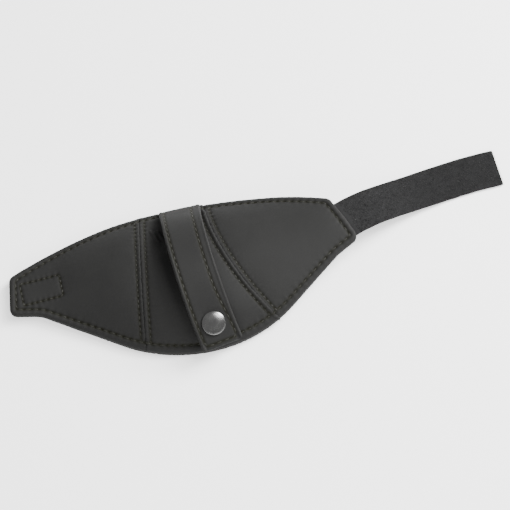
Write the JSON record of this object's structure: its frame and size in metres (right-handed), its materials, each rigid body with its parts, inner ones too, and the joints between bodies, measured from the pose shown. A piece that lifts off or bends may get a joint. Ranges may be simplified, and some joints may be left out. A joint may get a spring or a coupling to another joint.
{
  "type": "eye patch",
  "caption": "Padded leather eye patch: domed band of sewn panels with a snap strap over the cup and a hook-and-loop closing tape.",
  "frame": {"origin": "centre of the bounding box's base, on the table the hollow side rests on", "axes": "+X along the band from the nose tip to the loop tape, +Y up the face to the strap's fold, +Z outwards from the face"},
  "size_m": [0.2731, 0.0864, 0.0271],
  "materials": {
    "cover_leather": "fine grain, semi-matt charcoal",
    "strap_leather": "fine grain, semi-matt charcoal",
    "padding_foam": "open foam",
    "lining_suede": "soft brushed cloth",
    "loop_tape": "looped pile",
    "hook_tape": "moulded hooks on woven tape",
    "nickel": "polished nickel plate",
    "spring_steel": "drawn wire",
    "thread": "bonded polyester"
  },
  "bodies": {
    "band": {"nose_panel_cover": "cover_leather", "cup_panel_cover": "cover_leather", "temple_panel_cover": "cover_leather", "nose_padding": "padding_foam", "cup_padding": "padding_foam", "temple_padding": "padding_foam", "face_lining": "lining_suede", "snap_strap_root": "strap_leather", "snap_stud": "nickel", "snap_post": "nickel", "hook_patch": "hook_tape", "loop_tape_root": "loop_tape", "edge_stitching": "thread", "nose_seam_stitching": "thread", "temple_seam_stitching": "thread", "hook_patch_stitching": "thread", "strap_anchor_stitching": "thread"},
    "snap_strap": {"snap_strap_face": "strap_leather", "snap_strap_backing": "strap_leather", "snap_strap_stitching": "thread", "snap_cap": "nickel", "snap_socket": "nickel", "snap_socket_spring": "spring_steel"},
    "tape_slope": {"loop_tape_slope": "loop_tape"},
    "tape_end": {"loop_tape_end": "loop_tape"}
  },
  "joints": [
    {"name": "snap_strap_fold", "type": "hinge", "parent": "band", "child": "snap_strap", "pos_m": [-0.036, 0.04085, 0.00276], "axis": [-1, 0, 0], "range_deg": [0, 120], "deforming": ["snap_socket_spring"]},
    {"name": "tape_root_fold", "type": "hinge", "parent": "band", "child": "tape_slope", "pos_m": [0.0498, 0.01108, 0.01346], "axis": [0.3395, -0.9406, 0], "range_deg": [-80, 80]},
    {"name": "tape_fold", "type": "hinge", "parent": "tape_slope", "child": "tape_end", "pos_m": [0.08341, 0.02075, 0.0008], "axis": [0.2126, -0.9771, 0], "range_deg": [-85, 85]}
  ]
}
